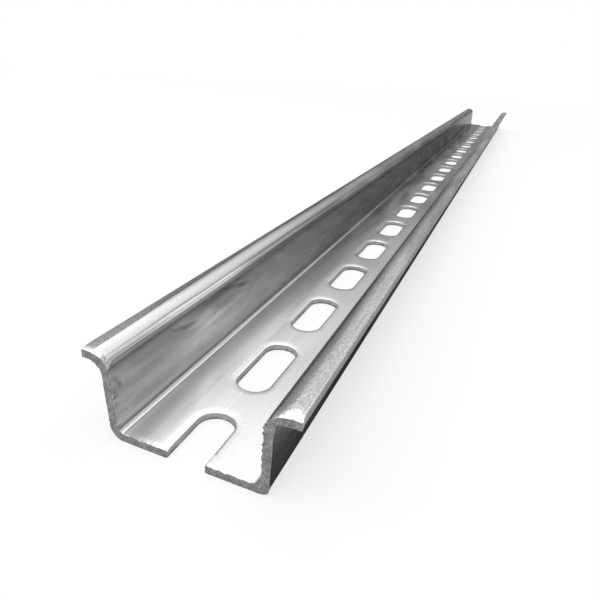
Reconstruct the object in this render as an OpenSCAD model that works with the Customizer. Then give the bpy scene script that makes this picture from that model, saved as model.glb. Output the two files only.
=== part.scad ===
// Perforated top-hat mounting rail, 35 mm wide and 15 mm deep.
// One strip of zinc-plated steel: slots are punched along its middle, then rolls bend it
// twice on each side into a channel with two outward flanges that devices clip onto.
// Millimetres. X runs along the rail, Y across it, Z up. The origin lies under the middle
// of the rail, on the surface that the base rests on. The end at -X is the one that was cut
// through a slot and left its rounded end open.

/* [Section] */
// Width across the outer edges of the two flanges
rail_w = 35; // [33:0.1:40]
// Height from the underside of the base to the top of the flanges
rail_h = 15; // [7.5:0.1:20]
// Width of the channel over the outer faces of its side walls
channel_w = 27; // [20:0.1:29]
// Thickness of the steel strip
sheet_t = 1.5; // [1:0.1:2]
// Radius inside the two bends between the base and the side walls
base_bend_r = 1; // [0.4:0.1:1.6]
// Radius inside the two bends under the flanges
flange_bend_r = 1.8; // [0.4:0.1:2]

/* [Length] */
// Length of the piece of rail
rail_l = 500; // [60:1:2000]

/* [Slots] */
// Width of a slot, across the rail
slot_w = 6.5; // [4.5:0.1:10]
// Length of a slot from one rounded end to the other
slot_l = 17.5; // [11:0.1:19.5]
// Distance from the middle of one slot to the middle of the next
slot_pitch = 25; // [22:0.5:50]
// How deep the cut slot is open at the -X end of the rail
open_slot_l = 11.6; // [5:0.1:17]

/* [Hidden] */
$fn = 64;
// How far a cutter runs past the face that it cuts
cut_over = 1;
// Radii on the outside of the bends, a sheet's thickness further out
base_outer_r = base_bend_r + sheet_t;
flange_outer_r = flange_bend_r + sheet_t;
// From the middle of the rail to the outer face of a side wall, and to a flange's edge
wall_y = channel_w / 2;
edge_y = rail_w / 2;
// Centres of the bends: across the rail, and above the surface it rests on
base_bend_y = wall_y - base_outer_r;
base_bend_z = base_outer_r;
flange_bend_y = wall_y + flange_bend_r;
flange_bend_z = rail_h - flange_outer_r;
// The row of slots: the first one is the one that the cut at the -X end runs through
end_x = rail_l / 2;
first_slot_x = open_slot_l - slot_l / 2 - end_x;
slot_count = 1 + floor((end_x + slot_l / 2 - first_slot_x) / slot_pitch);

// The strip bent through a right angle: a quarter of a ring between the inside and the
// outside radius. side_y and side_z say on which side of the bend's centre it lies.
module bend(inner_r, side_y, side_z) {
    outer_r = inner_r + sheet_t;
    intersection() {
        difference() {
            circle(r = outer_r);
            circle(r = inner_r);
        }
        scale([side_y, side_z])
            square(outer_r);
    }
}

// The flat of the base from its middle to the bend on the +Y side, with that bend, the side
// wall, the bend under the flange and the flange itself
module half_section() {
    square([base_bend_y, sheet_t]);
    translate([base_bend_y, base_bend_z])
        bend(base_bend_r, 1, -1);
    translate([wall_y - sheet_t, base_bend_z])
        square([sheet_t, flange_bend_z - base_bend_z]);
    translate([flange_bend_y, flange_bend_z])
        bend(flange_bend_r, -1, 1);
    translate([flange_bend_y, rail_h - sheet_t])
        square([edge_y - flange_bend_y, sheet_t]);
}

module top_hat_section() {
    half_section();
    mirror([1, 0])
        half_section();
}

// A slot's outline: two round ends joined by straight sides, long way along X
module slot_outline() {
    end_centre = (slot_l - slot_w) / 2;
    for (side = [-1, 1])
        translate([side * end_centre, 0])
            circle(d = slot_w);
    square([2 * end_centre, slot_w], center = true);
}

// The row of punched slots, as what is taken out of the base
module slot_row() {
    for (i = [0 : slot_count - 1])
        translate([first_slot_x + i * slot_pitch, 0, -cut_over])
            linear_extrude(sheet_t + 2 * cut_over)
                slot_outline();
}

module rail() {
    color("gainsboro")
        difference() {
            translate([-end_x, 0, 0])
                rotate([90, 0, 90])
                    linear_extrude(rail_l)
                        top_hat_section();
            slot_row();
        }
}

rail();
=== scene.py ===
import bmesh
import bpy
from math import cos, hypot, pi, radians, sin, tan
from types import SimpleNamespace
from mathutils import Matrix, Vector, kdtree, noise


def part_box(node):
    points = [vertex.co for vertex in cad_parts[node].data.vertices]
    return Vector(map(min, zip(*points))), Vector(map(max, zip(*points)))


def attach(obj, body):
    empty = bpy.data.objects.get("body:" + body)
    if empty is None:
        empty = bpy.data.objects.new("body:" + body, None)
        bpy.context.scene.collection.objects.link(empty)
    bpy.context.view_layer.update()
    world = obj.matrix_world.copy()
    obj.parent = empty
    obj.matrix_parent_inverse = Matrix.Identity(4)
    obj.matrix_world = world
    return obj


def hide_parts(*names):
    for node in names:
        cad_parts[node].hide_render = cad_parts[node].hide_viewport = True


# The rail's strip is punched, cut and rolled again here as a mesh, with the marks that the tools
# left in it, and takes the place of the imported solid. Then come its zinc, the camera and the studio.
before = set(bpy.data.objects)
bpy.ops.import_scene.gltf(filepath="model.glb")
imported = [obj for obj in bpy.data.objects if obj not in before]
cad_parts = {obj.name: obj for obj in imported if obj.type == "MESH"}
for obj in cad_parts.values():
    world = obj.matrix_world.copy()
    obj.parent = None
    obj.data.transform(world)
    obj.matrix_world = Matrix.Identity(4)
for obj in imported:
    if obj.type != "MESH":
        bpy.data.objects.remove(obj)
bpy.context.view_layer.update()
railLow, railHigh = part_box("rail")
micron = 1e-6                # places nearer each other than this are one place
zincFace, shearedFace, punchedFace = 0, 1, 2      # the rail's materials, in their order

# The rolled strip, in metres. Length, width and height come from the frame's box.
strip = dict(
    thick=0.0015,
    channelWidth=0.027,      # over the outer faces of the side walls
    flat=0.0105,             # half the width of the base that the punched cells fill
    wallSteps=3,
    # A roll is the radius of the upper skin, the degrees it turns up or, below zero, out, and its
    # steps. With no degrees it runs straight on. The foot leads to the wall, the shoulder from it.
    left=dict(
        side=1,
        foot=((0.0011, 86, 8),),
        shoulder=((0.0024, -41, 7), (0.004, -44.4, 9)),
    ),
    right=dict(
        side=-1,
        foot=((0.0009, 89.2, 8),),
        shoulder=((0.0036, -87.2, 14),),
    ),
    footPower=3.3,           # how square the lower skin is at the right foot, where 2 is round
    shoulderPower=6,         # and at the right shoulder
    skinError=0.00002,       # how far the lower skin may be off the round that gets squared
    slitRound=0.00016,       # slit edges of the flanges
    slitSteps=3,
    slitZone=0.0002,         # how near a flange's edge they are looked for
    edgeFrom=1.2,            # radians that two faces turn by where they meet in an edge
    smoothBelow=40,          # degrees
)

# The slots in it
slots = dict(
    width=0.0065,
    length=0.0175,
    pitch=0.025,
    openLength=0.0116,       # of the one that the near cut leaves open
    arcSteps=20,             # a multiple of 4, for the corners of the cells
    sideSteps=6,
    rolloverWidth=0.00042,   # the punch drew the upper rim down
    rolloverDepth=0.00017,
    rolloverSteps=5,
    dishRings=(0.0005, 0.0008, 0.0011, 0.0015),   # and a shallow dish round it, this far out
    dishDepth=0.00011,
    dishPower=1.6,           # 1 would be a straight slope
    lowerBreak=0.00007,      # lower rim
    wallUpright=0.2,         # the most that a slot wall's normal points up or down
)
firstSlot = slots["openLength"] - slots["length"] / 2 - railHigh.x
halfSlot = slots["width"] / 2
slotSide = (slots["length"] - slots["width"]) / 2


def newEdges(grown):
    return [g for g in grown if isinstance(g, bmesh.types.BMEdge) and all(v in grown for v in g.verts)]


def newVerts(grown):
    return [g for g in grown if isinstance(g, bmesh.types.BMVert)]


# Takes a vertex of a slot's outline out to a ring this far from it or, at 0, to its cell's border
def placeOut(v, slotX, wide):
    endways, up = (1 if v.co.x > slotX else -1), (1 if v.co.y > 0 else -1)
    past, dy = abs(v.co.x - slotX) - slotSide, abs(v.co.y)      # how far round an end's arc
    halfPitch = slots["pitch"] / 2
    if past <= micron:
        v.co.y = up * (halfSlot + wide if wide else strip["flat"])
    elif wide:
        grow = (halfSlot + wide) / hypot(past, dy)
        v.co.x = slotX + endways * (slotSide + past * grow)
        v.co.y = up * dy * grow
    elif past >= dy:                         # nearer the cell's end: squared out to it
        v.co.x = slotX + endways * halfPitch
        v.co.y = up * dy / past * strip["flat"]
    else:
        v.co.x = slotX + endways * (slotSide + past / dy * (halfPitch - slotSide))
        v.co.y = up * strip["flat"]


# One pitch of flat strip with a slot punched in it, filled out to the bend lines
def punchedCell(bm, slotX):
    z = strip["thick"]
    arcs = []
    for turn in (1, -1):
        first = bm.verts.new((slotX + turn * slotSide, -turn * halfSlot, z))
        last = bmesh.ops.spin(bm, geom=[first], cent=(slotX + turn * slotSide, 0, z), axis=(0, 0, 1),
                              angle=pi, steps=slots["arcSteps"])["geom_last"]
        arcs.append((first, last[0]))
    straights = [bm.edges.new((arcs[0][1], arcs[1][0])), bm.edges.new((arcs[1][1], arcs[0][0]))]
    bmesh.ops.subdivide_edges(bm, edges=straights, cuts=slots["sideSteps"] - 1)
    outline = [e for e in bm.edges if e.is_wire]
    for wide in slots["dishRings"] + (0,):
        grown = bmesh.ops.extrude_edge_only(bm, edges=outline)["geom"]
        outline = newEdges(grown)
        for v in newVerts(grown):
            placeOut(v, slotX, wide)


# A cut across the strip; with an outward direction, what lies beyond it goes
def sliceAt(bm, x, outward=0):
    bmesh.ops.bisect_plane(bm, geom=bm.verts[:] + bm.edges[:] + bm.faces[:], plane_co=(x, 0, 0),
                           plane_no=(outward or 1, 0, 0), clear_outer=outward != 0)


# Edges of the punched strip along the bend line on one side
def bendLine(bm, side):
    def onLine(co):
        return abs(co.y * side - strip["flat"]) < micron

    return [e for e in bm.edges if e.is_boundary and all(onLine(v.co) for v in e.verts)]


# Where a row of rolls leads to from a heading, over the width and the height
def rollPath(rolls, heading):
    moved = Vector((0, 0))
    for size, degrees, _ in rolls:
        if degrees:
            after = heading + radians(degrees)
            r = size if degrees > 0 else -size
            moved += r * Vector((sin(after) - sin(heading), cos(heading) - cos(after)))
            heading = after
        else:
            moved += size * Vector((cos(heading), sin(heading)))
    return moved, heading


# The strip goes straight on from some edges
def drawOut(bm, edges, move, steps):
    for _ in range(steps):
        grown = bmesh.ops.extrude_edge_only(bm, edges=edges)["geom"]
        bmesh.ops.translate(bm, verts=newVerts(grown), vec=Vector(move) / steps)
        edges = newEdges(grown)
    return edges


# The strip goes round a bend
def spinOut(bm, edges, centre, turn, steps):
    verts = list({v for e in edges for v in e.verts})
    last = bmesh.ops.spin(bm, geom=verts + list(edges), cent=centre, axis=(1, 0, 0), angle=turn,
                          steps=steps)["geom_last"]
    return [g for g in last if isinstance(g, bmesh.types.BMEdge)]


# One side of the strip, rolled out from the base: the wall and the flange are as long as it
# takes for the slit edge to end at the rail's corner. Gives the centre of each bend.
def rollSide(bm, side, foot, shoulder):
    t = strip["thick"]
    start = Vector((strip["channelWidth"] / 2 - t - foot[0][0], t))
    toWall, lean = rollPath(foot, 0)
    toFlange, rise = rollPath(shoulder, lean)
    gap = Vector((railHigh.y - t * sin(rise), railHigh.z)) - start - toWall - toFlange
    wall = (gap.y * cos(rise) - gap.x * sin(rise)) / sin(lean - rise)
    flange = (gap.x * sin(lean) - gap.y * cos(lean)) / sin(lean - rise)
    rolls = [(start.x - strip["flat"], 0, 1), *foot]
    rolls += [(wall, 0, strip["wallSteps"]), *shoulder, (flange, 0, 1)]
    place, heading, centres = Vector((strip["flat"], t)), 0, []
    edges = bendLine(bm, side)
    for roll in rolls:
        size, degrees, steps = roll
        moved, after = rollPath([roll], heading)
        if degrees:
            r = size if degrees > 0 else -size
            centre = place + r * Vector((-sin(heading), cos(heading)))
            centres.append(centre)
            edges = spinOut(bm, edges, (0, side * centre.x, centre.y), side * radians(degrees), steps)
        else:
            edges = drawOut(bm, edges, (0, side * moved.x, moved.y), steps)
        place, heading = place + moved, after
    return centres


# The cut ends, sheared and never dressed
cut = dict(
    rows=(0.0002, 0.00045, 0.0008, 0.0013, 0.0019, 0.0026),   # loops this far in from the end
    share=(0.55, 0.25, 0.08),          # of the rim's pull, at the first of them
    spacing=0.00024,
    layers=6,                # across the thickness
    wander=0.00013,          # how far the cut strays back from square
    wanderLevel=0.55,        # of that, without noise
    # Noise is a row of layers, each with its waves per metre and its strength
    wanderNoise=((420, 0.5), (1600, 0.35), (5200, 0.15)),
    basePull=0.0001,         # how far the shear drew the upper rim in, at the base
    flangePull=0.00042,      # and at the left flange
    rightPull=0.0003,        # and the right one
    flangeFrom=(0.0115, 0.0145),       # heights between which the one goes over into the other
    burr=0.00005,            # how far the lower rim stands out
    ragged=0.00017,
    raggedWall=0.00052,      # inner rim of the right wall
    wallZone=(0.003, 0.012),
    raggedNoise=((1300, 0.6), (3000, 0.45)),
    dents=0.0002,
    dentNoise=1700,
    dentShift=(7, 3, 1),     # so that the dents don't follow the other noise
    dentFrom=0.25,
    slotShare=0.2,           # of all this, at the rim of an open slot
    farShare=0.4,            # the far end was cut more cleanly
    droop=((1, 0.00006), (-1, 0.00028)),          # side, and how far its flange end is bent down
    droopFrom=(0.0115, 0.0135),
    droopNoise=(700, 0.7),
    # Metal that the near cut dragged along: where, how wide and how far it stands out
    lumps=(
        dict(y=0.0146, z=0.0127, reach=0.0015, height=0.00028),
        dict(y=-0.0143, z=0.0125, reach=0.0028, height=0.00018),
        dict(y=-0.0122, z=0.0128, reach=0.0024, height=0.00018),
        dict(y=-0.0118, z=0.0017, reach=0.0014, height=0.0002),
        dict(y=-0.0132, z=0.0007, reach=0.0006, height=0.00016),
    ),
)


# The strip's upper skin: punched flat, cut to length, then rolled twice on each side
def rollRail():
    endX = railHigh.x
    bm = bmesh.new()
    slotX = firstSlot
    while slotX - slots["pitch"] / 2 < endX:
        punchedCell(bm, slotX)
        slotX += slots["pitch"]
    bmesh.ops.remove_doubles(bm, verts=bm.verts, dist=micron)
    for end in (-1, 1):
        sliceAt(bm, end * endX, end)
        for row in cut["rows"]:
            sliceAt(bm, end * (endX - row))
    rollSide(bm, **strip["left"])
    rightCentres = rollSide(bm, **strip["right"])
    bmesh.ops.recalc_face_normals(bm, faces=bm.faces)
    if sum(f.normal.z * f.calc_area() for f in bm.faces) < 0:
        bmesh.ops.reverse_faces(bm, faces=bm.faces)
    print("strip:", len(bm.faces), "faces")
    return bm, rightCentres


# Cuts the skin up finely along its two ends, so that they can be roughened
def refineEnds(bm):
    lines = {}
    for e in bm.edges:
        a, b = (v.co for v in e.verts)
        if abs(a.x - b.x) < micron and abs(a.x) > railHigh.x - cut["rows"][-1] - micron:
            lines.setdefault(int((a - b).length / cut["spacing"]), []).append(e)
    for cuts, edges in lines.items():
        if cuts:
            bmesh.ops.subdivide_edges(bm, edges=edges, cuts=cuts, use_grid_fill=True)


# Squares the round of the lower skin at a right-hand bend, on one side of the bend's centre
def squareCorner(bm, centre, r, side, power):
    middle = Vector((0, -centre.x, centre.y))
    for v in bm.verts:
        out = v.co - middle
        u, w = out.y * side, out.z * side
        if u > 0 and w > 0 and abs(hypot(u, w) - r) < strip["skinError"]:
            v.co.yz = middle.yz + out.yz * r / (u ** power + w ** power) ** (1 / power)


def squareRightSide(bm, centres):
    footRadius = strip["right"]["foot"][0][0] + strip["thick"]
    shoulderRadius = strip["right"]["shoulder"][0][0] - strip["thick"]
    squareCorner(bm, centres[0], footRadius, -1, strip["footPower"])
    squareCorner(bm, centres[-1], shoulderRadius, 1, strip["shoulderPower"])


# How far out a point of the base is from the slot nearest to it
def fromSlot(co):
    slotX = firstSlot + slots["pitch"] * round((co.x - firstSlot) / slots["pitch"])
    return max(0, hypot(max(0, abs(co.x - slotX) - slotSide), co.y) - halfSlot)


def onSlotWall(co):
    return fromSlot(co) < 10 * micron


# Rolled-over upper rims of the slots, broken lower ones and rounded slit edges
def softenRims(bm):
    t = strip["thick"]
    wide, endX = halfSlot + 10 * micron, railHigh.x - 10 * micron

    def rounded(offset, segments, wanted):
        sharp = [e for e in bm.edges if len(e.link_faces) == 2
                 and e.calc_face_angle(0) > strip["edgeFrom"]
                 and wanted((e.verts[0].co + e.verts[1].co) / 2)]
        bmesh.ops.bevel(bm, geom=sharp, offset=offset, offset_type="OFFSET", segments=segments,
                        profile=0.5, material=-1, affect="EDGES")
        return len(sharp)

    def onSlot(middle, z):
        return abs(middle.z - z) < micron and abs(middle.y) < wide and abs(middle.x) < endX

    def onSlit(middle):
        return abs(middle.y) > railHigh.y - strip["slitZone"] and abs(middle.x) < endX

    upper = rounded(slots["rolloverWidth"], slots["rolloverSteps"], lambda m: onSlot(m, t))
    rim = [v for v in bm.verts if t - slots["rolloverWidth"] - micron < v.co.z < t - micron
           and abs(v.co.y) < wide + slots["rolloverWidth"]]
    bmesh.ops.scale(bm, vec=(1, 1, slots["rolloverDepth"] / slots["rolloverWidth"]), verts=rim,
                    space=Matrix.Translation((0, 0, -t)))
    rounded(slots["lowerBreak"], 1, lambda m: onSlot(m, 0))
    slit = rounded(strip["slitRound"], strip["slitSteps"], onSlit)
    print("rounded:", upper, "rim edges,", slit, "slit edges")


def dishSlots(bm):
    wide = slots["dishRings"][-1]
    for v in bm.verts:
        out = fromSlot(v.co)
        if out < wide and v.co.z > strip["thick"] - 2 * slots["rolloverDepth"]:
            v.co.z -= slots["dishDepth"] * (1 - out / wide) ** slots["dishPower"]


def softStep(value, low, high):
    share = min(1, max(0, (value - low) / (high - low)))
    return share * share * (3 - 2 * share)


# Noise of several sizes on top of each other
def layered(co, layers):
    return sum(noise.noise(co * waves) * strength for waves, strength in layers)


# How far in a point of a cut end's rim goes, along the skin's own normal
def rimPull(co, out):
    upper = out.y * co.y < 0 or out.z > 0.5       # the upper skin faces up or the rail's middle
    ragged = layered(co, cut["raggedNoise"])
    wild = cut["ragged"]
    if upper:
        topPull = cut["flangePull"] if co.y > 0 else cut["rightPull"]
        deep = cut["basePull"] + (topPull - cut["basePull"]) * softStep(co.z, *cut["flangeFrom"])
        if co.y < 0 and cut["wallZone"][0] < co.z < cut["wallZone"][1]:
            wild = cut["raggedWall"]
    else:
        deep = -cut["burr"] * (1 + 2 * ragged)
    dent = noise.noise(co * cut["dentNoise"] + Vector(cut["dentShift"])) - cut["dentFrom"]
    deep += wild * ragged + max(0, dent) * cut["dents"]
    for lump in cut["lumps"]:
        away = hypot(co.y - lump["y"], co.z - lump["z"]) / lump["reach"]
        deep -= lump["height"] * (1 - softStep(away, 0, 1))
    return deep * (cut["slotShare"] if onSlotWall(co) else 1)


def onEnd(co, end):
    return abs(co.x - end * railHigh.x) < micron


# Layers across the thickness of an end. Gives its rim: the vertices, and how far each goes in.
def layerEnd(bm, end):
    def isEnd(face):
        return all(onEnd(v.co, end) for v in face.verts)

    across = [e for e in bm.edges if sum(isEnd(f) for f in e.link_faces) == 2]
    bmesh.ops.subdivide_edges(bm, edges=across, cuts=cut["layers"] - 1, use_grid_fill=True)
    bm.normal_update()
    for f in bm.faces:
        if isEnd(f):
            f.material_index = shearedFace
    rim = []
    for v in bm.verts:
        flanks = [f.normal for f in v.link_faces if f.material_index != shearedFace]
        if onEnd(v.co, end) and flanks:
            out = sum(flanks, Vector()).normalized()
            rim.append((v, out * rimPull(v.co, out) * (1 if end < 0 else cut["farShare"])))
    return rim


# The rows of the skin behind an end go in with the rim, each less than the one before
def pullRows(bm, end, rim):
    nearest = kdtree.KDTree(len(rim))
    for i, (v, _) in enumerate(rim):
        nearest.insert(v.co, i)
    nearest.balance()
    for row, share in zip(cut["rows"], cut["share"]):
        for v in [v for v in bm.verts if abs(v.co.x - end * (railHigh.x - row)) < micron]:
            v.co -= rim[nearest.find(v.co)[1]][1] * share


# Bends the near end of one flange down
def bendFlange(bm, side, deep):
    waves, strength = cut["droopNoise"]
    for v in bm.verts:
        near = 1 - (v.co.x + railHigh.x) / cut["rows"][-1]
        if near > 0 and v.co.y * side > 0:
            patchy = 1 + strength * noise.noise(Vector((0, v.co.y * waves, side)))
            v.co.z -= deep * near ** 2 * patchy * softStep(v.co.z, *cut["droopFrom"])


def roughenCut(bm, end):
    rim = layerEnd(bm, end)
    pullRows(bm, end, rim)
    for v in [v for v in bm.verts if onEnd(v.co, end)]:
        uneven = cut["wanderLevel"] + layered(v.co, cut["wanderNoise"])
        v.co.x -= end * cut["wander"] * max(0, uneven)
    for v, pull in rim:
        v.co -= pull
    if end < 0:
        for side, deep in cut["droop"]:
            bendFlange(bm, side, deep)
    for v in bm.verts:
        v.co.z = min(max(v.co.z, 0), railHigh.z)
        v.co.y = min(max(v.co.y, railLow.y), railHigh.y)
    print("cut end:", len(rim), "rim points")


railSkin, rightCentres = rollRail()
refineEnds(railSkin)
bmesh.ops.solidify(railSkin, geom=railSkin.faces[:], thickness=strip["thick"])
railSkin.normal_update()
squareRightSide(railSkin, rightCentres)
softenRims(railSkin)
dishSlots(railSkin)
for end in (-1, 1):
    roughenCut(railSkin, end)
railSkin.normal_update()
for f in railSkin.faces:
    f.smooth = True
    upright = abs(f.normal.z) < slots["wallUpright"]
    if upright and f.material_index == zincFace and onSlotWall(f.calc_center_median()):
        f.material_index = punchedFace
railMesh = bpy.data.meshes.new("rolledRail")
railSkin.to_mesh(railMesh)
railSkin.free()
rail = bpy.data.objects.new("rolledRail", railMesh)
bpy.context.scene.collection.objects.link(rail)
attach(rail, "root")
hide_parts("rail")


def newMaterial(name, colour, metallic, roughness):
    material = bpy.data.materials.new(name)
    material.use_nodes = True
    shader = material.node_tree.nodes["Principled BSDF"]
    shader.inputs["Base Color"].default_value = (*colour, 1)
    shader.inputs["Metallic"].default_value = metallic
    shader.inputs["Roughness"].default_value = roughness
    return material, shader


# Adds a node; an input is a number, a vector or the output of another node
def addNode(tree, kind, inputs, **settings):
    made = tree.nodes.new("ShaderNode" + kind)
    for name, value in settings.items():
        setattr(made, name, value)
    for name, value in inputs.items():
        if isinstance(value, bpy.types.NodeSocket):
            tree.links.new(value, made.inputs[name])
        else:
            made.inputs[name].default_value = value
    return made.outputs[0]


def plus(tree, *parts):
    total = parts[0]
    for part in parts[1:]:
        total = addNode(tree, "Math", {0: total, 1: part}, operation="ADD")
    return total


def times(tree, *factors):
    product = factors[0]
    for factor in factors[1:]:
        product = addNode(tree, "Math", {0: product, 1: factor}, operation="MULTIPLY")
    return product


# Goes softly from start to end while the value goes from low to high
def spread(tree, value, low, high, start, end):
    limits = {"Value": value, "From Min": low, "From Max": high, "To Min": start, "To Max": end}
    return addNode(tree, "MapRange", limits, interpolation_type="SMOOTHSTEP")


# 1 between two values of a coordinate, 0 outside them
def within(tree, value, low, high, soft):
    return times(tree, spread(tree, value, low - soft, low + soft, 0, 1),
                 spread(tree, value, high - soft, high + soft, 1, 0))


# The same for a line: its middle and half its width
def alongLine(tree, value, middle, half, soft):
    return within(tree, value, middle - half, middle + half, soft)


# Rises to 1 at the middle and falls to 0 this far from it
def swell(tree, value, middle, away):
    return alongLine(tree, value, middle, away / 2, away / 2)


# A factor that goes softly from 1 off a mask to this one on it
def touch(tree, mask, factor):
    return spread(tree, mask, 0, 1, 1, factor)


# The same with a factor that varies on the mask and, if need be, off it
def cover(tree, mask, factor, off=1):
    return addNode(tree, "Mix", {"Factor": mask, "A": off, "B": factor})


# Millimetres on the rail, with their x, y and z
def railPlace(tree):
    coord = tree.nodes.new("ShaderNodeTexCoord")
    place = addNode(tree, "VectorMath", {0: coord.outputs["Object"], "Scale": 1000}, operation="SCALE")
    axes = tree.nodes.new("ShaderNodeSeparateXYZ")
    tree.links.new(place, axes.inputs[0])
    return place, *axes.outputs


# Noise drawn out to this many millimetres along the rail, across it and upright
def patches(tree, place, along, across, detail=2, upright=None):
    scale = (1 / along, 1 / across, 1 / (upright or across))
    squeezed = addNode(tree, "Mapping", {"Vector": place, "Scale": scale})
    return addNode(tree, "TexNoise", {"Vector": squeezed, "Scale": 1, "Detail": detail})


# Such noise between two levels, made to run between two values
def mottled(tree, place, along, across, values, detail=2, levels=(0.3, 0.7)):
    return spread(tree, patches(tree, place, along, across, detail), *levels, *values)


# The shader's colour, dimmed by a grey value
def dim(tree, shader, value):
    colour = tuple(shader.inputs["Base Color"].default_value)[:3]
    dimmed = addNode(tree, "VectorMath", {0: colour, "Scale": value}, operation="SCALE")
    tree.links.new(dimmed, shader.inputs["Base Color"])


def relief(tree, shader, height, deep):
    bump = addNode(tree, "Bump", {"Height": height, "Strength": 1, "Distance": deep})
    tree.links.new(bump, shader.inputs["Normal"])


# Zinc on rolled strip. In its dictionaries, down to the right flange's, places are millimetres: x
# runs along the rail from -250 at the near cut, y is left of its middle and z above its underside.
# Where a place has three numbers, the last is how soft its borders are. A shade is a factor for the
# colour, and 1 changes nothing. Noise is how long and how wide its patches are, then its detail.
plating = dict(
    colour=(0.7, 0.7, 0.705),
    grazing=0.34,            # keeps steep reflections from whitening
    roughness=(0.21, 0.28),
    noiseLevels=(0.3, 0.7),
    lines=(60, 0.16),        # left by the rolls
    linesShade=(0.97, 1.02),
    linesHeight=(0.5, 1.4),  # in general, and in the strokes on the left shoulder
    clouds=(30, 5, 1),
    cloudsShade=(0.95, 1.03),
    grain=(0.4, 0.3, 1),
    grainShade=(0.95, 1.035),
    grainHeight=0.35,
    streaks=dict(along=11, across=1.7, levels=(0.35, 0.65), values=(0.93, 1.06)),
    streaksAt=(3, 12.4, 0.8),          # z, on the walls
    relief=0.000012,         # metres
)

# What several areas of the zinc share: where the section's parts are, and two kinds of unevenness
layout = dict(
    top=(11.5, 12.6),        # z, from where on it is shoulder and flange
    low=(1.1, 2.8, 0.15),    # z, base and feet
    leftWall=(11, 13, 0.15),           # y
    nearCut=-249.75,         # x, where things that begin at the cut do so, give or take
    torn=dict(along=0.35, across=0.5, values=(0, 0.5)),
    wander=dict(along=22, across=50, detail=1, levels=(0.2, 0.8), values=(-0.1, 0.1)),   # of lines
    paintedShadeFrom=(-160, 20),     # x, from where to where the painted shade on the left shoulder and flange fades
    paintedShadeFade=(1, 0.35),
)


def zincLayout(tree):
    place, x, y, z = railPlace(tree)
    wander = mottled(tree, place, **layout["wander"])
    return SimpleNamespace(
        place=place, x=x, y=y, z=z,
        right=times(tree, y, -1),
        wander=wander,
        wavyY=plus(tree, y, wander),
        fromCut=plus(tree, x, mottled(tree, place, **layout["torn"]), -layout["nearCut"]),
        top=spread(tree, z, *layout["top"], 0, 1),
        low=within(tree, z, *layout["low"]),
        leftWall=within(tree, y, *layout["leftWall"]),
        paintedShadeFade=spread(tree, x, *layout["paintedShadeFrom"], *layout["paintedShadeFade"]),
    )


# Left shoulder: strokes drawn along it, the line where the last roll ran, and painted shade on its
# highlight outward of that line, round it halfway along and in the crease
shoulderLook = dict(
    strokesAt=(12.75, 13.7, 0.15),     # y
    strokes=(60, 0.12, 1),
    strokesLevels=(0.36, 0.6),
    strokesShade=(0.8, 1.2),
    nearStrokesAt=(-243, -228),        # x, by the cut, where they are deeper and darker: painted shade
    nearStrokesLevels=(0.4, 0.6),
    nearStrokesShade=(0.4, 0.98),
    rollLine=(13.8, 0.1, 0.08),        # y
    rollLineShade=0.5,
    crownAt=(13.8, 13.95),   # y, where the painted shade on the highlight begins
    crownTo=(13.85, 15.3),   # and how far out it gets brighter again
    crownShade=(0.68, 1),
    halfwayY=(12.8, 14.1, 0.25),       # painted shade round the line, from the third slot to the fifth
    halfwayX=(-208, -143, 12),
    halfwayShade=0.58,
    creaseY=(12.3, 12.9, 0.15),        # where the wall meets the shoulder: painted shade in the crease
    creaseZ=(12, 12.6, 0.3),
    creaseShade=0.84,
)


def inStrokes(tree, at):
    return times(tree, at.top, within(tree, at.y, *shoulderLook["strokesAt"]))


def shoulderShade(tree, at):
    strokes = patches(tree, at.place, *shoulderLook["strokes"])
    near = spread(tree, strokes, *shoulderLook["nearStrokesLevels"], *shoulderLook["nearStrokesShade"])
    far = spread(tree, strokes, *shoulderLook["strokesLevels"], *shoulderLook["strokesShade"])
    stroke = cover(tree, spread(tree, at.x, *shoulderLook["nearStrokesAt"], 1, 0), near, off=far)
    rollLine = times(tree, at.top, alongLine(tree, at.wavyY, *shoulderLook["rollLine"]))
    crown = times(tree, at.top, spread(tree, at.y, *shoulderLook["crownAt"], 0, 1), at.paintedShadeFade)
    halfway = times(tree, at.top, within(tree, at.y, *shoulderLook["halfwayY"]),
                    within(tree, at.x, *shoulderLook["halfwayX"]))
    outward = spread(tree, at.y, *shoulderLook["crownTo"], *shoulderLook["crownShade"])
    crease = times(tree, within(tree, at.z, *shoulderLook["creaseZ"]),
                   within(tree, at.y, *shoulderLook["creaseY"]))
    return times(tree, cover(tree, inStrokes(tree, at), stroke),
                 touch(tree, rollLine, shoulderLook["rollLineShade"]),
                 cover(tree, crown, outward),
                 touch(tree, halfway, shoulderLook["halfwayShade"]),
                 touch(tree, crease, shoulderLook["creaseShade"]))


# Band along the left flange's edge: painted shade on its reflection, mottled, and speckled where it begins
bandLook = dict(
    innerEdge=(15.65, 16.38),          # y: at the near cut, and further on
    innerEdgeAt=(-250, -205),
    edgeSoft=(-0.04, 0.06),  # beyond the inner edge
    cutSoft=(0.55, 0.9),     # beyond the cut
    wearAndShade=dict(along=1.2, across=0.3, levels=(0.35, 0.65), values=(0.88, 1.1)),
    shade=0.59,
    edgeShade=0.82,          # painted shade on top of that at the inner edge, and none a millimetre out
    specks=dict(along=0.9, across=0.3, levels=(0.36, 0.46), values=(0, 1)),
    specksAt=(0.1, 0.7),     # beyond the inner edge, where they get fainter
    specksFade=0.25,         # to this share
    specksShade=0.62,
)


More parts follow.
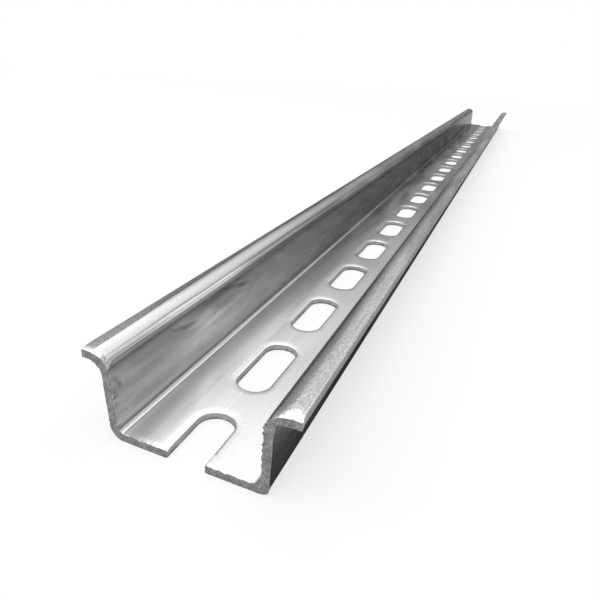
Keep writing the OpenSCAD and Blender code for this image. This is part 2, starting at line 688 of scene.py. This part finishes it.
def bandShade(tree, at):
    innerEdge = spread(tree, at.x, *bandLook["innerEdgeAt"], *bandLook["innerEdge"])
    past = plus(tree, at.wavyY, times(tree, innerEdge, -1))
    onBand = times(tree, at.top, spread(tree, past, *bandLook["edgeSoft"], 0, 1),
                   spread(tree, at.fromCut, *bandLook["cutSoft"], 0, 1), at.paintedShadeFade)
    wearAndShade = times(tree, mottled(tree, at.place, **bandLook["wearAndShade"]),
                 spread(tree, past, 0, 1, bandLook["edgeShade"], 1), bandLook["shade"])
    specks = times(tree, onBand, spread(tree, past, *bandLook["specksAt"], 1, bandLook["specksFade"]),
                   touch(tree, mottled(tree, at.place, **bandLook["specks"]), 0))
    return times(tree, cover(tree, onBand, wearAndShade), touch(tree, specks, bandLook["specksShade"]))


# Foot of the left wall, and the base beside it: a painted dark line that splits the bend's highlight,
# painted shade on its sides and the base edge, and a painted highlight left of the first slots
footLook = dict(
    line=(11.5, 0.05, 0.04),           # y, a painted dark line in the bend
    lineShade=0.72,
    baseSide=(10.8, 11.4, 0.08),       # y, painted shade on the base side of the bend
    baseSideAt=(-220, 0),    # x
    baseSideShade=(0.82, 0.5),
    wallSideFrom=(11.4, 11.5),         # y, painted shade on the wall side of it
    wallSideTo=(11.8, 12),
    wallSideShade=0.78,
    baseEdge=(9, 11, 1),     # y, painted shade on the base next to it
    baseEdgeShade=0.89,
    glow=(4.4, 7.6, 1.3),    # y, painted highlight on the base left of the first slots
    glowTo=(-212, -185),     # x
    glowShade=1.28,
)


def footShade(tree, at):
    line = times(tree, alongLine(tree, at.y, *footLook["line"]), at.low)
    baseSide = times(tree, within(tree, at.y, *footLook["baseSide"]), at.low)
    wallSide = times(tree, spread(tree, at.y, *footLook["wallSideFrom"], 0, 1),
                     spread(tree, at.y, *footLook["wallSideTo"], 1, 0), at.low)
    baseEdge = times(tree, within(tree, at.y, *footLook["baseEdge"]), at.low)
    glow = times(tree, within(tree, at.y, *footLook["glow"]), at.low,
                 spread(tree, at.x, *footLook["glowTo"], 1, 0))
    onward = spread(tree, at.x, *footLook["baseSideAt"], *footLook["baseSideShade"])
    return times(tree, touch(tree, line, footLook["lineShade"]), cover(tree, baseSide, onward),
                 touch(tree, wallSide, footLook["wallSideShade"]),
                 touch(tree, baseEdge, footLook["baseEdgeShade"]), touch(tree, glow, footLook["glowShade"]))


# Left wall: painted shade by the near cut, and painted reflections of the slots: a dark spot, dark hooks
# and bright streaks
wallLook = dict(
    # painted shade by the near cut
    nearZ=(3.5, 9, 1.2),
    nearTo=(-244, -226),     # x
    nearShade=0.74,
    # a painted dark reflection by the cut
    spotZ=(8.5, 11.2, 0.8),
    spotAt=(5.5, 6.2, 0.5),          # from the cut, and leaning
    spotLean=0.45,
    spotShade=0.6,
    ripple=dict(along=2.5, across=0.6, values=(-0.16, 0.16)),    # in the marks' outlines
    # A mark is a painted reflection of a slot: its middle, half its length and height, and how much lower
    # it gets per millimetre
    marks=(
        dict(x=-224.5, z=9.8, along=7, high=1.8, lean=0, shade=1.5),
        dict(x=-222, z=8.1, along=9, high=1.2, lean=0, shade=1.5),
        dict(x=-212, z=8.3, along=9, high=1.1, lean=0, shade=1.2),
        dict(x=-218, z=12, along=14, high=1.3, lean=0, shade=0.6),
        dict(x=-229.3, z=10.3, along=4, high=0.9, lean=0.12, shade=0.62),
        dict(x=-232.5, z=11, along=4.5, high=0.6, lean=0.25, shade=0.75),
        dict(x=-209.8, z=10.7, along=4, high=0.95, lean=0.12, shade=0.5),
        dict(x=-213.5, z=11.6, along=5.5, high=0.7, lean=0.22, shade=0.66),
    ),
)


def wallShade(tree, at):
    near = times(tree, at.leftWall, within(tree, at.z, *wallLook["nearZ"]),
                 spread(tree, at.x, *wallLook["nearTo"], 1, 0))
    slanted = plus(tree, times(tree, at.z, wallLook["spotLean"]), at.fromCut)
    darkSpot = times(tree, within(tree, slanted, *wallLook["spotAt"]),
                   within(tree, at.z, *wallLook["spotZ"]), at.leftWall)
    shade = times(tree, touch(tree, near, wallLook["nearShade"]),
                  touch(tree, darkSpot, wallLook["spotShade"]))
    wavyZ = plus(tree, at.z, mottled(tree, at.place, **wallLook["ripple"]))
    for mark in wallLook["marks"]:
        leaning = times(tree, plus(tree, at.x, -mark["x"]), mark["lean"])
        onMark = times(tree, swell(tree, at.x, mark["x"], mark["along"]),
                       swell(tree, plus(tree, wavyZ, leaning), mark["z"], mark["high"]), at.leftWall)
        shade = times(tree, shade, touch(tree, onMark, mark["shade"]))
    return shade


# A faint scratch along the base, which fades away from the near end
scratchLook = dict(
    line=(0.35, 0.05, 0.04),           # y
    fadeAt=(-236, -150),     # x
    fade=0.15,               # what is left of it in the end
    shade=1.3,
)


def scratchShade(tree, at):
    onLine = times(tree, alongLine(tree, at.y, *scratchLook["line"]),
                   spread(tree, at.x, *scratchLook["fadeAt"], 1, scratchLook["fade"]))
    return touch(tree, onLine, scratchLook["shade"])


# Right flange: a painted highlight on a tongue where the shear pressed it, and scuffs from there on, under
# painted shade that is deepest by the cut. Here places across the rail go to its right.
flangeLook = dict(
    innerEdge=(13, 13.9),
    tongueFrom=13.9,
    tongueWidest=16.3,
    tongueTo=17.6,
    tongueDeep=1.7,          # from the cut
    tongueEnd=0.15,          # of that, at the flange's edge
    tongueSoft=(-0.15, 0.4),           # beyond it
    # painted highlight on the tongue
    tongueHighlight=1.3,
    scuffsAt=(14.9, 17.6, 0.55),
    scuffsAndPaintedShade=(0.74, 0.98),          # painted shade: by the near cut, and further on
    paintedShadeAt=(-240, -190),        # x, where the painted shade eases off
    flecks=dict(along=0.55, across=0.35, levels=(0.4, 0.7), values=(0.92, 1.25)),
    rubs=dict(along=14, across=0.22, detail=1, levels=(0.35, 0.65), values=(0.93, 1.1)),
    line=(16.9, 0.06, 0.06),           # a bright one along it
    lineAt=(-238, -205, 6),  # x
    lineWander=1.5,
    lineShade=1.25,
    dents=dict(along=0.6, across=0.3, detail=3, levels=(0.45, 0.72), values=(0, 1.5)),
    scuffsRoughness=0.04,    # more than elsewhere
)


def onTongue(tree, at):
    widest = flangeLook["tongueWidest"]
    rise = spread(tree, at.right, flangeLook["tongueFrom"], widest, 0, flangeLook["tongueDeep"])
    fall = spread(tree, at.right, widest, flangeLook["tongueTo"], 1, flangeLook["tongueEnd"])
    deep = times(tree, rise, fall)
    past = plus(tree, at.fromCut, times(tree, deep, -1))
    return times(tree, spread(tree, past, *flangeLook["tongueSoft"], 1, 0),
                 spread(tree, at.right, *flangeLook["innerEdge"], 0, 1), at.top)


def inScuffs(tree, at, tongue):
    return times(tree, at.top, within(tree, at.right, *flangeLook["scuffsAt"]), touch(tree, tongue, 0))


# The scuffs' flecks, rubs and bright line, under painted shade
def scuffsAndPaintedShade(tree, at):
    wavy = plus(tree, times(tree, at.wander, flangeLook["lineWander"]), at.right)
    line = times(tree, alongLine(tree, wavy, *flangeLook["line"]),
                 within(tree, at.x, *flangeLook["lineAt"]))
    return times(tree, mottled(tree, at.place, **flangeLook["flecks"]),
                 mottled(tree, at.place, **flangeLook["rubs"]),
                 touch(tree, line, flangeLook["lineShade"]),
                 spread(tree, at.x, *flangeLook["paintedShadeAt"], *flangeLook["scuffsAndPaintedShade"]))


def zincPlating():
    material, shader = newMaterial("zincPlatedSteel", plating["colour"], 1, plating["roughness"][1])
    shader.inputs["Specular Tint"].default_value = (plating["grazing"],) * 3 + (1,)
    tree = material.node_tree
    at = zincLayout(tree)
    levels = plating["noiseLevels"]
    lines = patches(tree, at.place, *plating["lines"])
    clouds = patches(tree, at.place, *plating["clouds"])
    grain = patches(tree, at.place, *plating["grain"])
    drawn, tongue = inStrokes(tree, at), onTongue(tree, at)
    scuffed = inScuffs(tree, at, tongue)
    streaks = cover(tree, within(tree, at.z, *plating["streaksAt"]),
                    mottled(tree, at.place, **plating["streaks"]))
    shade = times(tree, spread(tree, lines, *levels, *plating["linesShade"]),
                  spread(tree, clouds, *levels, *plating["cloudsShade"]),
                  spread(tree, grain, *levels, *plating["grainShade"]), streaks)
    for area in (shoulderShade, bandShade, footShade, wallShade, scratchShade):
        shade = times(tree, shade, area(tree, at))
    # painted highlight on the tongue; painted shade over the scuffs
    shade = times(tree, shade, touch(tree, tongue, flangeLook["tongueHighlight"]),
                  cover(tree, scuffed, scuffsAndPaintedShade(tree, at)))
    dim(tree, shader, shade)

    rough = plus(tree, spread(tree, clouds, *levels, *plating["roughness"]),
                 times(tree, scuffed, flangeLook["scuffsRoughness"]))
    tree.links.new(rough, shader.inputs["Roughness"])
    height = plus(tree, times(tree, lines, spread(tree, drawn, 0, 1, *plating["linesHeight"])),
                  times(tree, grain, plating["grainHeight"]),
                  times(tree, scuffed, mottled(tree, at.place, **flangeLook["dents"])))
    relief(tree, shader, height, plating["relief"])
    print("zinc:", len(tree.nodes), "nodes")
    return material


# Bare torn steel where the shear went through
shear = dict(
    colour=(0.26, 0.26, 0.26),
    grain=(0.3, 0.22, 3),
    grainLevels=(0.36, 0.64),
    grainShade=(0.6, 1.4),
    blotches=dict(along=1.5, across=0.9, values=(0.82, 1.18)),
    pits=dict(along=0.5, across=0.35, levels=(0.3, 0.4), values=(0.5, 1)),
    roughnessLevels=(0.3, 0.7),
    roughness=(0.42, 0.62),
    relief=0.00006,
)


def shearedSteel():
    material, shader = newMaterial("shearedSteel", shear["colour"], 1, shear["roughness"][0])
    tree = material.node_tree
    place = railPlace(tree)[0]
    grain = patches(tree, place, *shear["grain"])
    dim(tree, shader, times(tree, spread(tree, grain, *shear["grainLevels"], *shear["grainShade"]),
                            mottled(tree, place, **shear["blotches"]),
                            mottled(tree, place, **shear["pits"])))
    rough = spread(tree, grain, *shear["roughnessLevels"], *shear["roughness"])
    tree.links.new(rough, shader.inputs["Roughness"])
    relief(tree, shader, grain, shear["relief"])
    return material


# Slot walls: burnished by the punch above, darker and rougher towards the bottom
punch = dict(
    colour=(0.5, 0.5, 0.5),
    metallic=0.3,
    strokes=(0.16, 0.16, 2, 1.6),      # upright ones
    strokesLevels=(0.3, 0.7),
    strokesShade=(0.85, 1.12),
    darkBelow=(0.25, 0.6),   # z, uneven by
    waves=dict(along=1.2, across=1.2, values=(-0.2, 0.2)),
    lowerShade=0.45,
    roughness=(0.5, 0.8),
    relief=0.00002,
)


def punchedSteel():
    material, shader = newMaterial("punchedSteel", punch["colour"], punch["metallic"],
                                   punch["roughness"][0])
    tree = material.node_tree
    place, _, _, z = railPlace(tree)
    strokes = patches(tree, place, *punch["strokes"])
    wavyZ = plus(tree, z, mottled(tree, place, **punch["waves"]))
    torn = spread(tree, wavyZ, *punch["darkBelow"], 1, 0)
    dim(tree, shader, times(tree, spread(tree, strokes, *punch["strokesLevels"], *punch["strokesShade"]),
                            touch(tree, torn, punch["lowerShade"])))
    tree.links.new(spread(tree, torn, 0, 1, *punch["roughness"]), shader.inputs["Roughness"])
    relief(tree, shader, strokes, punch["relief"])
    return material


# In the order of the faces' material numbers
for material in (zincPlating(), shearedSteel(), punchedSteel()):
    railMesh.materials.append(material)
railMesh.set_sharp_from_angle(angle=radians(strip["smoothBelow"]))
weighted = rail.modifiers.new("weightedNormals", "WEIGHTED_NORMAL")
weighted.keep_sharp = True
print("rail:", len(railMesh.polygons), "faces")

# Camera: fitted to the photograph's view of the near end and the slots
view = dict(
    place=(-0.29915, -0.03422, 0.05659),
    turn=0.3587,             # radians left of the rail's length
    drop=0.4508,             # radians below the horizon
    roll=0.0819,
    lens=31.41,
    sensor=36,
    nearest=0.005,
)
camera = bpy.data.objects.new("camera", bpy.data.cameras.new("camera"))
bpy.context.scene.collection.objects.link(camera)
camera.data.lens = view["lens"]
camera.data.sensor_width = view["sensor"]
camera.data.clip_start = view["nearest"]
camera.location = view["place"]
look = Matrix.Rotation(view["turn"] - pi / 2, 4, "Z") @ Matrix.Rotation(pi / 2 - view["drop"], 4, "X")
camera.rotation_euler = (look @ Matrix.Rotation(view["roll"], 4, "Z")).to_euler()
bpy.context.scene.camera = camera

# Studio: azimuths are degrees left of the rail's length, heights degrees above the floor. A lamp's
# glow is how bright its surface is, where 1 is white.
studio = dict(
    aim=(-0.25, 0, 0),
    lamps=dict(
        softbox=dict(azimuth=16, height=61, distance=3, size=(3, 2.6), glow=0.58),
        overhead=dict(azimuth=176, height=70, distance=2.5, size=(1.5, 2.2), glow=2.6),
        rimLight=dict(azimuth=110, height=46, distance=2.5, size=(1.2, 1), glow=2),
        sideLight=dict(azimuth=-38, height=54, distance=2.5, size=(0.9, 0.7), glow=0.9),
    ),
    world=0.6,               # light of the room itself; the background stays white
    floorSize=24,
    floorColour=(0.9, 0.9, 0.9),
    floorRoughness=0.9,
    whiteAt=(0.3, 0.8),      # from the middle of the rail, where its shadow has run out
    whiteNear=0.65,          # share of plain white nearer than that
    cardHeight=0.00005,      # clear of the floor
    # How far out the cards run across the rail: dark cards that paint the shadow under and beside it into
    # reflections
    cards=dict(
        cardUnder=dict(left=0.0175, right=-0.0132, grey=0.33),
        cardBeside=dict(left=-0.0132, right=-0.0207, grey=0.08),
    ),
    flagRadius=2.5,
    flagFoot=-0.02,          # just under the floor
    flagSteps=24,
    flags=dict(
        flagRight=dict(start=-110, end=-6, height=19.3, grey=0.24),
        flagAhead=dict(start=-6, end=29, height=24, grey=0.6),
        flagLeft=dict(start=29, end=110, height=31, grey=0.4),
    ),
)
white = (1, 1, 1, 1)


def addLamp(name, azimuth, height, distance, size, glow):
    lamp = bpy.data.lights.new(name, "AREA")
    lamp.shape = "RECTANGLE"
    lamp.size, lamp.size_y = size
    lamp.energy = glow * pi * size[0] * size[1]
    holder = bpy.data.objects.new(name, lamp)
    bpy.context.scene.collection.objects.link(holder)
    a, h = radians(azimuth), radians(height)
    away = Vector((cos(h) * cos(a), cos(h) * sin(a), sin(h)))
    holder.location = Vector(studio["aim"]) + away * distance
    holder.rotation_euler = away.to_track_quat("Z", "Y").to_euler()


for name, lamp in studio["lamps"].items():
    addLamp(name, **lamp)


# 1 for the camera, for reflections and through glass, 0 for the light that falls on things
def whiteForCamera(tree):
    path = tree.nodes.new("ShaderNodeLightPath").outputs
    seen = addNode(tree, "Math", {0: path["Is Camera Ray"], 1: path["Is Glossy Ray"]}, operation="MAXIMUM")
    return addNode(tree, "Math", {0: seen, 1: path["Is Transmission Ray"]}, operation="MAXIMUM")


# Floor: pale, lit, with the rail's shadow; it runs out into plain white away from the rail
def paleFloor():
    material, shader = newMaterial("paleFloor", studio["floorColour"], 0, studio["floorRoughness"])
    shader.inputs["Specular IOR Level"].default_value = 0
    tree = material.node_tree
    coord = tree.nodes.new("ShaderNodeTexCoord")
    away = tree.nodes.new("ShaderNodeVectorMath")
    away.operation = "LENGTH"
    tree.links.new(coord.outputs["Object"], away.inputs[0])
    fade = spread(tree, away.outputs["Value"], *studio["whiteAt"], studio["whiteNear"], 1)
    plain = addNode(tree, "Emission", {"Strength": 1})
    mix = addNode(tree, "MixShader", {"Fac": times(tree, fade, whiteForCamera(tree)),
                                      1: shader.outputs["BSDF"], 2: plain})
    tree.links.new(mix, tree.nodes["Material Output"].inputs["Surface"])
    return material


bpy.ops.mesh.primitive_plane_add(size=studio["floorSize"], location=(0, 0, 0))
floor = bpy.context.active_object
floor.name = "floor"
floor.data.materials.append(paleFloor())


# A grey surface that only reflections show
def stageFlag(name, bm, grey):
    flagMesh = bpy.data.meshes.new(name)
    bm.to_mesh(flagMesh)
    bm.free()
    flag = bpy.data.objects.new(name, flagMesh)
    bpy.context.scene.collection.objects.link(flag)
    flag.visible_camera = False
    flag.visible_diffuse = False
    flag.visible_shadow = False
    card = bpy.data.materials.new(name)
    card.use_nodes = True
    tree = card.node_tree
    tree.nodes.remove(tree.nodes["Principled BSDF"])
    glow = addNode(tree, "Emission", {"Color": (grey, grey, grey, 1)})
    tree.links.new(glow, tree.nodes["Material Output"].inputs["Surface"])
    flagMesh.materials.append(card)


# Flags that stand round the set, and two cards on the floor, under the rail and to its right: painted
# shadow that only reflections show
for name, flag in studio["flags"].items():
    bm = bmesh.new()
    r, a = studio["flagRadius"], radians(flag["start"])
    low = bm.verts.new((r * cos(a), r * sin(a), studio["flagFoot"]))
    high = bm.verts.new((r * cos(a), r * sin(a), r * tan(radians(flag["height"]))))
    bmesh.ops.spin(bm, geom=[low, high, bm.edges.new((low, high))], cent=(0, 0, 0), axis=(0, 0, 1),
                   angle=radians(flag["end"] - flag["start"]), steps=studio["flagSteps"])
    stageFlag(name, bm, flag["grey"])
for name, card in studio["cards"].items():
    bm = bmesh.new()
    bmesh.ops.create_grid(bm, x_segments=1, y_segments=1, size=0.5)
    bmesh.ops.scale(bm, vec=(2 * railHigh.x, card["left"] - card["right"], 1), verts=bm.verts)
    bmesh.ops.translate(bm, vec=(0, (card["left"] + card["right"]) / 2, studio["cardHeight"]),
                        verts=bm.verts)
    stageFlag(name, bm, card["grey"])

world = bpy.data.worlds.new("studio")
world.use_nodes = True
tree = world.node_tree
lit = tree.nodes["Background"]
lit.inputs["Color"].default_value = white
lit.inputs["Strength"].default_value = studio["world"]
seen = addNode(tree, "Background", {"Color": white, "Strength": 1})
mix = addNode(tree, "MixShader", {"Fac": whiteForCamera(tree), 1: lit.outputs["Background"], 2: seen})
tree.links.new(mix, tree.nodes["World Output"].inputs["Surface"])
bpy.context.scene.world = world
bpy.context.scene.view_settings.view_transform = "Standard"
print("studio:", len(studio["lamps"]), "lamps,", len(studio["flags"]), "flags")
